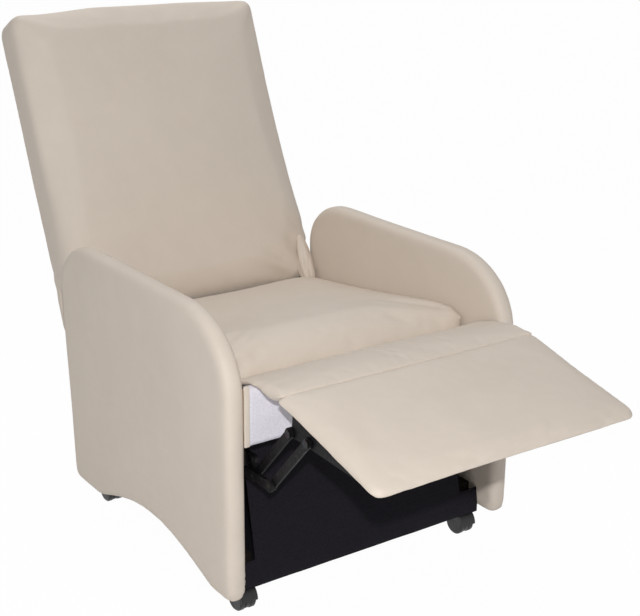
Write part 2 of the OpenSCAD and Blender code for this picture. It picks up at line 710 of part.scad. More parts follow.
module caster_blocks() color(timber) place() for (p = caster_places)
    translate([p[0], p[1], 0]) difference() {
        translate([p[0] < 0 ? -panel_in_x + seat_gap - p[0] : -block_half_w,
            p[2] < 0 ? -block_front : -block_rear, panel_z])
            cube([block_half_w + panel_in_x - seat_gap - caster_x, block_d, block_h]);
        translate([0, 0, panel_z - over]) cylinder(r = stem_r + socket_wall + run_gap, h = stem_h + over);
    }
module caster_sockets() color(zinc) place() for (p = caster_places)
    translate([p[0], p[1], panel_z]) difference() {
        cylinder(r = stem_r + socket_wall, h = stem_h);
        translate([0, 0, -over]) cylinder(r = stem_r, h = stem_h + 2 * over);
    }
module caster_hood_front_left() color(nylon) caster_place(0) caster_hood();
module caster_hood_front_right() color(nylon) caster_place(1) caster_hood();
module caster_hood_rear_left() color(nylon) caster_place(2) caster_hood();
module caster_hood_rear_right() color(nylon) caster_place(3) caster_hood();
module caster_stem_front_left() color(zinc) caster_place(0) caster_stem();
module caster_stem_front_right() color(zinc) caster_place(1) caster_stem();
module caster_stem_rear_left() color(zinc) caster_place(2) caster_stem();
module caster_stem_rear_right() color(zinc) caster_place(3) caster_stem();
module caster_wheels_front_left() color(nylon) caster_place(0) caster_wheels();
module caster_wheels_front_right() color(nylon) caster_place(1) caster_wheels();
module caster_wheels_rear_left() color(nylon) caster_place(2) caster_wheels();
module caster_wheels_rear_right() color(nylon) caster_place(3) caster_wheels();

side_panel_left();
side_panel_right();
front_rail();
rail_lining();
seat_rail_left();
seat_rail_right();
seat_rear_rail();
lower_front_rail();
lower_rear_rail();
seat_webbing();
seat_cushion();
flap_root();
front_cover();
rear_cover();
dust_cloth();
linkage_plate_left();
linkage_plate_right();
linkage_pins();
caster_blocks();
caster_sockets();
hinge_plate_left();
hinge_plate_right();
hinge_pins();
back_frame();
back_cushion();
back_cover();
back_wing_left();
back_wing_right();
back_bracket_left();
back_bracket_right();
crank_left();
crank_right();
drive_tube();
crank_pins();
front_links();
rear_links();
drive_links();
flap();
footrest_board();
footrest_pad();
footrest_brackets();
bracket_pins();
caster_hood_front_left();
caster_hood_front_right();
caster_hood_rear_left();
caster_hood_rear_right();
caster_stem_front_left();
caster_stem_front_right();
caster_stem_rear_left();
caster_stem_rear_right();
caster_wheels_front_left();
caster_wheels_front_right();
caster_wheels_rear_left();
caster_wheels_rear_right();
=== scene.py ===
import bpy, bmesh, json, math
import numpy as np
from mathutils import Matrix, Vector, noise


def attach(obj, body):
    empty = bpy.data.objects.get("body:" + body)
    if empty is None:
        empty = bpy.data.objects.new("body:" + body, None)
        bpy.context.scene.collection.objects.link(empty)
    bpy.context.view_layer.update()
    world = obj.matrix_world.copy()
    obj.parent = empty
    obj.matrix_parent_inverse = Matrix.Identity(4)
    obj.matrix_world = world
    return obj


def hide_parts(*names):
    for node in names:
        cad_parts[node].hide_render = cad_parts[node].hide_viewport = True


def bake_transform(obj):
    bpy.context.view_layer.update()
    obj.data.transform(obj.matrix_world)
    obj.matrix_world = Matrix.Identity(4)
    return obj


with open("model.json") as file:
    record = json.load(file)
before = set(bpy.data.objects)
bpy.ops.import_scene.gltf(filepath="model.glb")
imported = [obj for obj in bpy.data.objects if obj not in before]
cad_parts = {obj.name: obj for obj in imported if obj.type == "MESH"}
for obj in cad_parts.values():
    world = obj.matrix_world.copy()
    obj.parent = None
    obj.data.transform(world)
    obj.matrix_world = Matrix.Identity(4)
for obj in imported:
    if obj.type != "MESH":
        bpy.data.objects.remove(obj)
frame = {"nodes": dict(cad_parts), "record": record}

# %% [markdown]
# # A push-back treatment chair
# The chair is two upholstered side panels on casters, a padded seat between them, a backrest that tilts,
# and a footrest pad on a steel linkage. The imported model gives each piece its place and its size. This
# lesson dresses it: every soft solid gets a stuffed piece in its stead, and every timber and steel piece
# keeps its shape and gets a finish. Places are written in millimetres from the front of the side panels,
# as on a workshop drawing, and one helper turns them into the frame's metres.

scene = bpy.context.scene
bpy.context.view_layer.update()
DEPTH = 318.727          # the frame's origin lies this far behind the panel fronts
LEAN = math.radians(23)  # the backrest from upright
TILT = math.radians(14)  # the footrest's slope
BACK_Y, BACK_Z = 624, 384  # where the way up the backrest starts
PAD_Y, PAD_Z = -95, 451  # where the way along the footrest starts


def at(x, y, z):
    """a workshop place in the frame's metres"""
    return Vector((x / 1000, (y - DEPTH) / 1000, z / 1000))


# %% [markdown]
# ## Working on a mesh
# Each soft piece starts as a merged copy of its CAD solid, so it fits its place. The copy is remeshed into
# small even cells, which cloth needs, and modifiers are turned into mesh before the next step. Moving
# points with numpy is quicker than one by one, so small helpers read and write them all at once.

# %% Helpers for meshes
def add(name, mesh):
    obj = bpy.data.objects.new(name, mesh)
    scene.collection.objects.link(obj)
    return obj


def built(name, b):
    """an object from a bmesh, with its faces turned outwards"""
    bmesh.ops.recalc_face_normals(b, faces=b.faces)
    mesh = bpy.data.meshes.new(name)
    b.to_mesh(mesh)
    b.free()
    return add(name, mesh)


def from_cad(name, *nodes):
    """one object from merged copies of CAD nodes"""
    b = bmesh.new()
    for node in nodes:
        b.from_mesh(frame["nodes"][node].data)
    bmesh.ops.remove_doubles(b, verts=b.verts, dist=1e-5)
    return built(name, b)


def points(obj):
    co = np.empty(len(obj.data.vertices) * 3)
    obj.data.vertices.foreach_get("co", co)
    return co.reshape(-1, 3)


def set_points(obj, co):
    obj.data.vertices.foreach_set("co", np.ascontiguousarray(co, float).ravel())
    obj.data.update()


def normals(obj):
    n = np.empty(len(obj.data.vertices) * 3)
    obj.data.vertex_normals.foreach_get("vector", n)
    return n.reshape(-1, 3)


def settle(obj):
    """turns an object's modifiers into mesh"""
    graph = bpy.context.evaluated_depsgraph_get()
    mesh = bpy.data.meshes.new_from_object(obj.evaluated_get(graph))
    old = obj.data
    obj.modifiers.clear()
    obj.data = mesh
    bpy.data.meshes.remove(old)
    obj.data.name = obj.name
    return obj


def remesh(obj, cell):
    m = obj.modifiers.new("cells", "REMESH")
    m.mode, m.voxel_size = "VOXEL", cell
    return settle(obj)


def smooth(obj, times):
    b = bmesh.new()
    b.from_mesh(obj.data)
    for _ in range(times):
        bmesh.ops.smooth_vert(b, verts=b.verts, factor=0.5, use_axis_x=True, use_axis_y=True,
                              use_axis_z=True)
    b.to_mesh(obj.data)
    b.free()
    return obj


def round_shading(obj):
    obj.data.polygons.foreach_set("use_smooth", [True] * len(obj.data.polygons))
    obj.data.update()


def narrow(obj, half):
    """keeps a cover within half metres of the middle, where it clears the side panels"""
    co = points(obj)
    co[:, 0] = np.clip(co[:, 0], -half, half)
    set_points(obj, co)


def tell(obj):
    """prints a piece's width, depth and height"""
    print(obj.name, *(round(float(v) * 1000) for v in np.ptp(points(obj), axis=0)), "mm")


# %% [markdown]
# ## Three curves
# Much of the shaping below pulls a solid about: it swells here and narrows there, and each change has to
# begin and end somewhere. A ramp, a hump and a slow start are enough to say where and how much.

# %% A ramp, a hump and a slow start
def ramp(value, start, end):
    """0 at start and 1 at end, straight between them and level beyond"""
    return np.clip((value - start) / (end - start), 0, 1)


def hump(value, width):
    """1 where value is 0, falling to 0 over the width"""
    return np.exp(-(value / width) ** 2)


def ease(amount):
    """lets a ramp from 0 to 1 start and end slowly"""
    return amount * amount * (3 - 2 * amount)


print("a quarter of the way up a ramp, eased:", ease(ramp(2.5, 0, 10)))

# %% [markdown]
# ## Stuffing a cover
# A cover is sewn a little larger than its foam, and the foam pushes it out between the seams. Cloth
# simulation does the same: the seam lines are pinned, a pressure fills the piece, and a small negative
# shrink gives the cover its slack, which gathers in soft wrinkles. A cap on how far a point may move keeps
# the piece in its place.

# %% Stuffing
FRAMES = 18              # how long the cover takes to fill and come to rest


def stuff(obj, pinned, pressure=3.0, cap=0.008, slack=0.003):
    """fills a cover that is pinned where pinned is true, and moves no point further than the cap"""
    start = points(obj)
    group = obj.vertex_groups.new(name="seams")
    group.add(np.flatnonzero(pinned).tolist(), 1.0, "REPLACE")
    cloth = obj.modifiers.new("cover", "CLOTH")
    s = cloth.settings
    s.quality, s.mass, s.air_damping = 6, 0.25, 4
    s.tension_stiffness = s.compression_stiffness = 18
    s.shear_stiffness, s.bending_stiffness = 8, 3
    s.use_pressure, s.uniform_pressure_force = True, pressure
    s.effector_weights.gravity = 0
    s.vertex_group_mass = "seams"
    s.shrink_min = -slack
    cloth.collision_settings.use_collision = False
    cloth.point_cache.frame_start, cloth.point_cache.frame_end = 1, FRAMES
    for frame_number in range(1, FRAMES + 1):
        scene.frame_set(frame_number)
    settle(obj)
    scene.frame_set(1)
    moved = points(obj) - start
    far = np.linalg.norm(moved, axis=1, keepdims=True)
    set_points(obj, start + moved * np.minimum(1, cap / np.maximum(far, 1e-9)))
    print(obj.name, "stuffed, moved up to", round(float(far.max()) * 1000, 1), "mm")
    smooth(obj, 3)


def finer(obj):
    """one subdivision of a finished cover"""
    m = obj.modifiers.new("finer", "SUBSURF")
    m.levels = m.render_levels = 1
    return settle(obj)


# %% [markdown]
# ## Wrinkles and creases
# Foam under imitation leather is never quite even: it dimples over a hand's width, and where the cover was
# pulled over an edge or folded in its box it keeps a faint crease. Noise over the surface moves the points
# for the first, and a narrow groove along a line moves them for the second.

# %% Wrinkles
def ripples(co, size, stretch=(1, 1, 1), seed=0.0):
    """smooth noise from -1 to 1 over the points, size metres across"""
    q = co / (size * np.array(stretch)) + seed
    return np.array([noise.noise(Vector(p)) for p in q])


def dent(obj, height):
    """moves each point along its normal by height metres"""
    set_points(obj, points(obj) + normals(obj) * height[:, None])


def dimple(obj, *layers):
    """makes a piece uneven by layers of noise, each a height and a size in metres and a seed"""
    co = points(obj)
    dent(obj, sum(height * ripples(co, size, seed=seed) for height, size, seed in layers))


def crease(co, a, b, width, depth):
    """a groove along the line a to b: its height at each point"""
    a, b = np.array(a), np.array(b)
    d = b - a
    t = np.clip(((co - a) @ d) / (d @ d), 0, 1)
    off = np.linalg.norm(co - (a + t[:, None] * d), axis=1)
    return -depth * hump(off, width) * np.sin(np.pi * np.clip(t, 0.02, 0.98)) ** 0.5


# %% [markdown]
# ## Where a point lies on each piece
# A seam is a line on the piece itself, so it is easier to write in the piece's own directions: along the
# backrest and through it, or along the footrest and through it. Small helpers turn the frame's metres
# into these, in millimetres, and back.

# %% The pieces' own directions
def workshop(co):
    """x, y, z in millimetres from the panel fronts"""
    return co * 1000 + np.array([0, DEPTH, 0])


def on_back(co):
    """x, the way up the backrest, and the depth into it from its front face"""
    x, y, z = workshop(co).T
    y, z = y - BACK_Y, z - BACK_Z
    return x, y * math.sin(LEAN) + z * math.cos(LEAN), y * math.cos(LEAN) - z * math.sin(LEAN)


def from_back(x, s, t):
    """points from their places on the backrest"""
    y = BACK_Y + s * math.sin(LEAN) + t * math.cos(LEAN)
    z = BACK_Z + s * math.cos(LEAN) - t * math.sin(LEAN)
    return np.stack([x, y - DEPTH, z], axis=1) / 1000


def from_pad(x, v, w):
    """points from their places on the footrest"""
    y = w * math.sin(TILT) - v * math.cos(TILT)
    z = -v * math.sin(TILT) - w * math.cos(TILT)
    return np.stack([x, y + PAD_Y - DEPTH, z + PAD_Z], axis=1) / 1000


def on_pad(co):
    """x, the way forward along the footrest, and the depth into it from its top"""
    x, y, z = workshop(co).T
    y, z = y - PAD_Y, z - PAD_Z
    return x, -y * math.cos(TILT) - z * math.sin(TILT), y * math.sin(TILT) - z * math.cos(TILT)


# %% [markdown]
# ## Shader maths
# A finish is built from many small sums. One class wraps a socket, so that a sum can be written as it
# would be on paper, and one method makes any other node. Numbers alone are worked out in Python.

# %% A small language for finishes
class Wire:
    """a value in a finish, which adds and multiplies like a number"""

    def __init__(self, finish, socket):
        self.finish, self.socket = finish, socket

    def __add__(self, other): return self.finish.sum("ADD", self, other)
    def __radd__(self, other): return self.finish.sum("ADD", other, self)
    def __sub__(self, other): return self.finish.sum("SUBTRACT", self, other)
    def __rsub__(self, other): return self.finish.sum("SUBTRACT", other, self)
    def __mul__(self, other): return self.finish.sum("MULTIPLY", self, other)
    def __rmul__(self, other): return self.finish.sum("MULTIPLY", other, self)
    def __truediv__(self, other): return self.finish.sum("DIVIDE", self, other)
    def __neg__(self): return self.finish.sum("MULTIPLY", self, -1)


class Finish:
    """a node tree, made from nothing"""

    def __init__(self, name=None, tree=None):
        if tree is None:
            self.material = bpy.data.materials.new(name)
            self.material.use_nodes = True
            tree = self.material.node_tree
        self.tree = tree
        tree.nodes.clear()

    def node(self, kind, settings=None, inputs=None, out=0):
        n = self.tree.nodes.new("ShaderNode" + kind)
        for key, value in (settings or {}).items():
            setattr(n, key, value)
        for key, value in (inputs or {}).items():
            if isinstance(value, Wire):
                self.tree.links.new(value.socket, n.inputs[key])
            else:
                n.inputs[key].default_value = value
        return Wire(self, n.outputs[out]) if len(n.outputs) else n

    def sum(self, operation, a, b=0.0):
        return self.node("Math", {"operation": operation}, {0: a, 1: b})

    def limit(self, value):
        return self.node("Math", {"operation": "ADD", "use_clamp": True}, {0: value, 1: 0.0})

    def bell(self, value, width):
        """1 where value is 0, falling to 0 over the width"""
        scaled = value / width
        return self.sum("EXPONENT", -(scaled * scaled))

    def blend(self, amount, a, b):
        """the colour a where amount is 0 and b where it is 1"""
        return self.node("Mix", {"data_type": "RGBA"}, {0: amount, 6: a, 7: b}, out=2)

    def noise(self, place, scale, detail=3.0, rough=0.55):
        return self.node("TexNoise", {}, {"Vector": place, "Scale": scale, "Detail": detail,
                                          "Roughness": rough})

    def drawn(self, place, *scale):
        """the place, drawn out differently along x, y and z"""
        return self.node("Mapping", {}, {"Vector": place, "Scale": scale})

    def surface(self, colour, rough, height, specular=0.5, metallic=0.0):
        """the material: the height, in millimetres, stands out from the surface"""
        raised = self.node("Bump", {}, {"Strength": 1.0, "Distance": 0.001, "Height": height})
        shader = self.node("BsdfPrincipled", {}, {
            "Base Color": colour, "Roughness": rough, "Normal": raised, "Specular IOR Level": specular,
            "Metallic": metallic})
        self.node("OutputMaterial", {}, {"Surface": shader})
        return self.material


def shade(red, green, blue):
    """a colour picked as 0 to 255, made linear"""
    def line(c):
        c /= 255
        return c / 12.92 if c <= 0.04045 else ((c + 0.055) / 1.055) ** 2.4
    return (line(red), line(green), line(blue), 1.0)


def tinted(colour, red, green, blue):
    """a colour with each of its parts multiplied"""
    return tuple(min(1, part * by) for part, by in zip(colour, (red, green, blue))) + (1.0,)


# %% [markdown]
# ## Imitation leather
# The cover is cream imitation leather with a fine pebbled grain and a satin sheen. The grain is small
# cells with rounded tops. Broad mottling and a few darker rubbed places keep it from looking like plastic.
# Where a piece keeps the distance to its seam, the leather sinks into it and puckers beside it, and painted
# shade darkens that groove.

# %% The leather's finish
def leather(name, colour):
    f = Finish(name)
    place = f.node("TexCoord", out="Object")
    bend = f.node("TexNoise", {}, {"Vector": place, "Scale": 300.0, "Detail": 1.0}, out=1)
    wander = f.node("VectorMath", {"operation": "MULTIPLY_ADD"}, {0: bend, 1: (0.0016,) * 3, 2: place})
    cells = f.node("TexVoronoi", {"feature": "SMOOTH_F1"}, {"Vector": wander, "Scale": 1000.0,
                                                            "Smoothness": 0.6})
    broad = f.noise(place, 3.2, 4.0)
    cloudy = f.noise(place, 21.0, 4.0, 0.6)
    rubbed = f.limit((f.noise(place, 7.0, 6.0, 0.7) - 0.56) * 6.0)
    seam = f.node("Attribute", {"attribute_name": "seam"}, out="Fac")
    along = f.node("Attribute", {"attribute_name": "along"}, out="Fac")
    line = f.bell(seam, 0.0011)
    beside = f.bell(seam, 0.008) * (1 - line)
    pucker = f.sum("SINE", (along + f.noise(place, 40.0, 1.0) * 0.01) * 680.0) * beside
    # painted shade in the seam's groove: darkest on the seam line, fading over a few millimetres beside it
    groove_shade = f.limit(line * 0.75 + f.bell(seam, 0.004) * 0.22)
    tone = f.blend(f.limit((broad - 0.3) * 1.5), colour, tinted(colour, 0.93, 0.93, 0.93))
    tone = f.blend(f.limit((cloudy - 0.45) * 1.2), tone, tinted(colour, 1.05, 1.05, 1.05))
    tone = f.blend(rubbed * 0.22, tone, tinted(colour, 0.86, 0.81, 0.74))
    # the painted shade of the seam's groove is blended in here
    tone = f.blend(groove_shade * 0.62, tone, tinted(colour, 0.42, 0.36, 0.29))
    rough = 0.5 + broad * 0.1 + cells * 0.12 - rubbed * 0.07
    height = cells * -0.11 + cloudy * 0.35 - line * 1.1 + pucker * 0.22
    return f.surface(tone, rough, height, specular=0.42)


CREAM = leather("cream_leather", shade(214, 202, 189))
print("leather has", len(CREAM.node_tree.nodes), "nodes")

# %% [markdown]
# ## Cloth, timber, steel and nylon
# Under its leather a chair is plain: white lining felt over the front rail, black dust cloth round the
# base, sawn pine for the frame, black painted bars with dull zinc pins, and black nylon casters. The pine
# that lies in shade inside the base and under the footrest is painted near black as shade. Each finish has
# the mark of how it is made: fibres and welded dots, growth rings and knots, a painted skin that wears off
# at the edges, the cloudy crystals of zinc, and moulded grain with dust on it.

# %% Finishes for what lies under the leather
def felt(name, colour, dark):
    f = Finish(name)
    place = f.node("TexCoord", out="Object")
    upright = f.noise(f.drawn(place, 900.0, 900.0, 260.0), 1.0)
    fibres = upright + f.noise(f.drawn(place, 240.0, 800.0, 900.0), 1.0)
    dots = f.node("TexVoronoi", {"feature": "F1"}, {"Vector": place, "Scale": 620.0, "Randomness": 0.25})
    pressed = f.limit((0.28 - dots) * 6.0)
    folds = f.noise(place, 14.0)
    tone = f.blend(f.limit((fibres - 0.7) * 1.6), dark, colour)
    tone = f.blend(pressed * 0.35, tone, dark)
    height = fibres * 0.25 - pressed * 0.3 + folds * 1.2
    return f.surface(tone, 0.86 - pressed * 0.15, height, specular=0.15)


def pine(name, lit_share=1.0):
    f = Finish(name)
    place = f.node("TexCoord", out="Object")
    rings = f.node("TexWave", {"wave_type": "BANDS", "bands_direction": "Z", "wave_profile": "SAW"},
                   {"Vector": f.drawn(place, 3.0, 60.0, 60.0), "Scale": 1.2, "Distortion": 6.0,
                    "Detail": 3.0, "Detail Scale": 1.4}, out=1)
    fibre = f.noise(f.drawn(place, 30.0, 900.0, 900.0), 1.0)
    spots = f.node("TexVoronoi", {}, {"Vector": f.drawn(place, 5.0, 22.0, 22.0), "Scale": 1.0})
    knots = f.limit((0.16 - spots) * 7.0)
    # the last argument darkens every colour of the pine: below 1 it is painted shade
    early, late, knot, pale = (tinted(shade(*rgb), lit_share, lit_share, lit_share) for rgb in (
        (206, 172, 122), (176, 132, 82), (104, 66, 38), (222, 196, 150)))
    tone = f.blend(rings, early, late)
    tone = f.blend(knots, tone, knot)
    tone = f.blend(f.limit((fibre - 0.5) * 1.5), tone, pale)
    return f.surface(tone, 0.72 + fibre * 0.12, rings * 0.12 + fibre * 0.2, specular=0.3)


def painted_steel(name):
    f = Finish(name)
    place = f.node("TexCoord", out="Object")
    skin = f.noise(place, 420.0, 2.0)
    worn = f.node("NewGeometry", out="Pointiness")
    chips = f.limit((worn - 0.53) * 14.0) * f.limit((f.noise(place, 130.0, 5.0, 0.7) - 0.52) * 9.0)
    dust = f.limit((f.noise(place, 18.0, 5.0, 0.7) - 0.5) * 2.2)
    tone = f.blend(dust * 0.2, shade(6, 5, 8), shade(22, 20, 22))
    tone = f.blend(chips * 0.4, tone, shade(52, 51, 54))
    return f.surface(tone, 0.5 + dust * 0.25 - chips * 0.1, skin * 0.12 - chips * 0.1, specular=0.2,
                     metallic=chips * 0.4)


def zinc_plate(name):
    f = Finish(name)
    place = f.node("TexCoord", out="Object")
    spangle = f.node("TexVoronoi", {"feature": "F1"}, {"Vector": place, "Scale": 240.0}, out=1)
    cloud = f.noise(place, 60.0, 4.0)
    tone = f.blend(f.limit(cloud * 1.3 - 0.2), shade(50, 50, 54), shade(34, 34, 38))
    tone = f.blend(0.03, tone, spangle)
    return f.surface(tone, 0.3 + cloud * 0.2, f.noise(place, 900.0, 2.0) * 0.05, metallic=1.0)


def nylon(name):
    f = Finish(name)
    place = f.node("TexCoord", out="Object")
    grain = f.noise(place, 1500.0, 2.0)
    dust = f.limit((f.noise(place, 55.0, 5.0, 0.7) - 0.48) * 2.5)
    low = f.limit((0.02 - f.node("SeparateXYZ", {}, {0: place}, out=2)) * 45.0)
    tone = f.blend(dust * 0.25 + low * 0.12, shade(22, 20, 23), shade(60, 56, 53))
    return f.surface(tone, 0.42 + dust * 0.3, grain * 0.06, specular=0.45)


LINING = felt("white_lining", shade(236, 233, 242), shade(214, 211, 222))
DUST_CLOTH = felt("black_dust_cloth", shade(33, 30, 38), shade(14, 12, 17))
# the second pine is the same pine darkened to near black: painted shade for timber lying in shade
PINE, SHADED_PINE, STEEL = pine("sawn_pine"), pine("pine_with_painted_shade", 0.018), painted_steel("black_paint")
ZINC, NYLON = zinc_plate("zinc_plate"), nylon("black_nylon")
print([finish.name for finish in (LINING, DUST_CLOTH, PINE, SHADED_PINE, STEEL, ZINC, NYLON)])

# %% [markdown]
# ## Giving the finishes out
# The record says which kind of material each node is made of, so the pieces that keep their shape take
# their finish from it. A new piece gets its finish and the body that it rides on from one helper.
# On leather it also keeps how far each point is from the seam and how far along it, for the puckers and
# for the painted shade in the seam's groove.

# %% Finishes on the pieces that keep their shape
by_slot = {"upholstery": CREAM, "lining": LINING, "black_cloth": DUST_CLOTH, "timber": PINE,
           "black_steel": STEEL, "zinc_steel": ZINC, "caster_nylon": NYLON}
slots = {part["node"]: part["material_slot"] for part in frame["record"]["subparts"]}
for node, obj in frame["nodes"].items():
    obj.data.materials.clear()
    obj.data.materials.append(by_slot[slots[node]])
# these rails and blocks lie in the shade inside the base, so they take the pine with painted shade
for node in ("seat_rail_left", "seat_rail_right", "lower_front_rail", "caster_blocks"):
    frame["nodes"][node].data.materials[0] = SHADED_PINE
print(len(slots), "nodes have a finish")


def dress(obj, finish, body=None, seam=1.0, along=0.0):
    """gives a piece its finish and its ride; seam and along are in metres"""
    if finish is CREAM:
        for name, value in (("seam", seam), ("along", along)):
            kept = obj.data.attributes.new(name, "FLOAT", "POINT")
            kept.data.foreach_set("value", np.full(len(kept.data), value, np.float32))
    obj.data.materials.clear()
    obj.data.materials.append(finish)
    round_shading(obj)
    if body:
        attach(obj, body)


# %% [markdown]
# ## Side panels
# A side panel is a timber slab with thin foam over it and the cover pulled tight round a band. Its edges
# are soft, and the outer sheet keeps the faint creases of its box. The CAD panel is remeshed, which melts
# its facets, smoothed, and then creased along a few lines. Its feet, where the cover is turned in, pucker.

# %% The two side panels
PANEL_FACE = 313         # the panel's outer face, out from the middle
BOX_CREASES = {          # from one (y, z) to another, with a width and a depth
    -1: [((530, 281), (239, 270), 3.2, 1.5), ((250, 271), (118, 259), 2.6, 1.3),
         ((600, 404), (410, 416), 3.5, 0.8), ((330, 400), (180, 423), 2.8, 1.0),
         ((190, 422), (105, 420), 3.2, 0.8), ((420, 180), (150, 158), 4.5, 0.7)],
    1: [((530, 285), (130, 262), 3.2, 1.3), ((560, 405), (180, 420), 3.2, 0.9)]}


def side_panel(side, name, node):
    obj = smooth(remesh(from_cad(name, node), 0.005), 14)
    co = points(obj)
    y = workshop(co)[:, 1]
    co[:, 1] += 0.006 * ramp(y, 500, 610) ** 2
    set_points(obj, co)
    x, y, z = workshop(co).T
    height = 0.0010 * ripples(co, 0.19, seed=3 + side) + 0.0003 * ripples(co, 0.07, seed=9 + side)
    for a, b, width, depth in BOX_CREASES[side]:
        a, b = at(side * PANEL_FACE, *a), at(side * PANEL_FACE, *b)
        height += crease(co, a, b, width / 1000, depth / 1000)
    low = ramp(z, 130, 60)
    toe, heel = low * ramp(y, 50, 0), low * ramp(np.abs(y - 235), 45, 0)
    height += 0.0030 * (toe + 0.5 * heel) * ripples(co, 0.02, (1, 1, 0.35), seed=5)
    dent(obj, height)
    dress(obj, CREAM, "base")
    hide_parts(node)
    tell(obj)


side_panel(-1, "panel_left", "side_panel_left")
side_panel(1, "panel_right", "side_panel_right")

# %% [markdown]
# ## Seat cushion
# The seat is a foam block in a loose cover. Its top is crowned and its nose is round. The cover is pinned
# under the seat and down its sides, and pressure lifts the top and the nose. A seam runs along its side.

# %% The seat
SEAT_SEAM = 60           # how far below the seat's top its seam lies


def below_seat(y, z):
    """how far a place lies below the seat's top, which slopes down to the rear"""
    return 450 - (y - 142) * 66 / 477 - z


seat = smooth(remesh(from_cad("seat", "seat_cushion"), 0.006), 14)
x, y, z = workshop(points(seat)).T
stuff(seat, (below_seat(y, z) > SEAT_SEAM + 2) | (np.abs(x) > 270) | (y > 612), cap=0.010)
narrow(seat, 0.2745)
finer(seat)
dimple(seat, (0.0012, 0.12, 1), (0.0004, 0.03, 2))
x, y, z = workshop(points(seat)).T
dress(seat, CREAM, "base", np.abs(below_seat(y, z) - SEAT_SEAM) / 1000, x / 1000)
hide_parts("seat_cushion")
tell(seat)

# %% [markdown]
# ## Backrest
# The backrest is one tall pad. It narrows at its foot to pass between the arms, and its crown hangs a
# little at the corners. The front cushion wraps round the sides to meet the rear cover. It bulges most at
# the small of the back, it rolls over at its rim, and it swells above the arms. All but its front is
# pinned, so the pressure gives the front a crown and a soft edge.

# %% The backrest's front cushion
SHOULDER = 95            # the backrest is narrower below this
SEAM = 44                # how deep the front cushion's solid reaches


def shoulder_drop(x, s):
    """how far the top corners of the backrest hang below its crown"""
    return np.where(x < 0, 9, 3) * ease(ramp(np.abs(x), 80, 230)) * ramp(s, 460, 610)


back = from_cad("back_pad", "back_cushion")
x, s, t = on_back(points(back))
set_points(back, from_back(x, s, t + 1.9 * ramp(s, 44, 60) * np.clip(t - 20, 0, 24)))
smooth(remesh(back, 0.006), 3)
x, s, t = on_back(points(back))
front = ramp(t, SEAM, 4)
bulge = (9 + 15 * hump(s - 80, 190)) * (0.72 + 0.28 * ramp(s, -10, 40))
to_rim = np.minimum(np.where(s > SHOULDER, 281, 267) - np.abs(x), 629 - s)
t = t - bulge * front + 7 * hump(to_rim, 13) * front
wider = (4 + 3 * hump(s - 110, 60)) * ramp(s, 54, 68) * ramp(t, 66, 16)
wider += np.interp(s, [54, 68, 84, 104], [0, 14, 14, 0])
x = x + np.sign(x) * wider * ramp(np.abs(x), 150, 250)
set_points(back, from_back(x, s - shoulder_drop(x, s), t))
smooth(back, 4)
x, s, t = on_back(points(back))
stuff(back, t > 8, slack=0.002)
finer(back)
dimple(back, (0.0013, 0.17, 4), (0.0003, 0.04, 6))
dress(back, CREAM, "backrest")
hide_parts("back_cushion")
tell(back)

# %% [markdown]
# ## The backrest's rear cover
# Behind, the cover is a shallow tray with round corners. Its sides tuck in under the front cushion, so that
# no seam shows at the side, and its foot is as wide as the cushion there.

# %% The backrest's rear cover
shell = smooth(remesh(from_cad("back_shell", "back_cover"), 0.006), 3)
x, s, t = on_back(points(shell))
foot = ramp(s, 104, 86) * ramp(t, 70, 78)
x = x + np.sign(x) * 14.5 * foot * ramp(np.abs(x), 225, 265)
side = np.where((s > SHOULDER) | (t > 74), 280.5, 266)
to_rim = np.minimum(np.minimum(side - np.abs(x), 628 - s), s + 36)
t = t - ramp(t, 50, 118) * (10 + 12 * hump(np.maximum(to_rim, 0), 16))
tuck = 7 * ramp(t, 92, 80) * ramp(s, 50, 64)
x = x - np.sign(x) * tuck * ramp(np.abs(x), 200, 260)
s = s - tuck * ramp(s, 540, 600)
set_points(shell, from_back(x, s - shoulder_drop(x, s), t))
smooth(shell, 4)
dimple(shell, (0.0012, 0.14, 7), (0.0003, 0.04, 8))
dress(shell, CREAM, "backrest")
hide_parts("back_cover")
tell(shell)

# %% [markdown]
# ## Ears
# Where the backrest narrows to pass between the arms, its cover is gathered into a padded ear on each
# side, which fills the corner between the backrest, the seat and the arm. An ear is a ball drawn out into
# a tapering roll that leans with the backrest. Its folds are five waves round it, deepest at its lower end.

# %% The ears
for side, name, node in ((-1, "ear_left", "back_wing_left"), (1, "ear_right", "back_wing_right")):
    b = bmesh.new()
    bmesh.ops.create_uvsphere(b, u_segments=72, v_segments=60, radius=1)
    ear = built(name, b)
    u = points(ear)
    rise = (u[:, 2] + 1) / 2
    angle = np.arctan2(u[:, 1], u[:, 0])
    ring = np.sqrt(np.clip(1 - u[:, 2] ** 2, 0, 1)) ** 0.6
    folds = 0.11 * np.sin(5 * angle + 5 * rise) * (1 - 0.7 * rise) + 0.03 * np.sin(11 * angle - 9 * rise)
    wide = ring * (22 - 12 * rise ** 1.2) * (1 + folds)
    x = 255 + wide * np.cos(angle)
    t = -25 + wide * 0.8 * np.sin(angle)
    s = -20 + 105 * rise
    x = np.where(s < 34, np.minimum(x, 275), x)
    set_points(ear, from_back(side * x, s, t))
    dent(ear, 0.0007 * ripples(points(ear), 0.013, (1, 1, 2.2), seed=side))
    dress(ear, CREAM, "backrest")
    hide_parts(node)
    tell(ear)

# %% [markdown]
# ## Footrest pad
# The footrest is a flat board with foam on it, wrapped in the same cover. Its edge is a soft roll all
# round, thinner than the middle, and its rear edge reaches further back under the flap. The underside is
# pinned, so only the top fills.

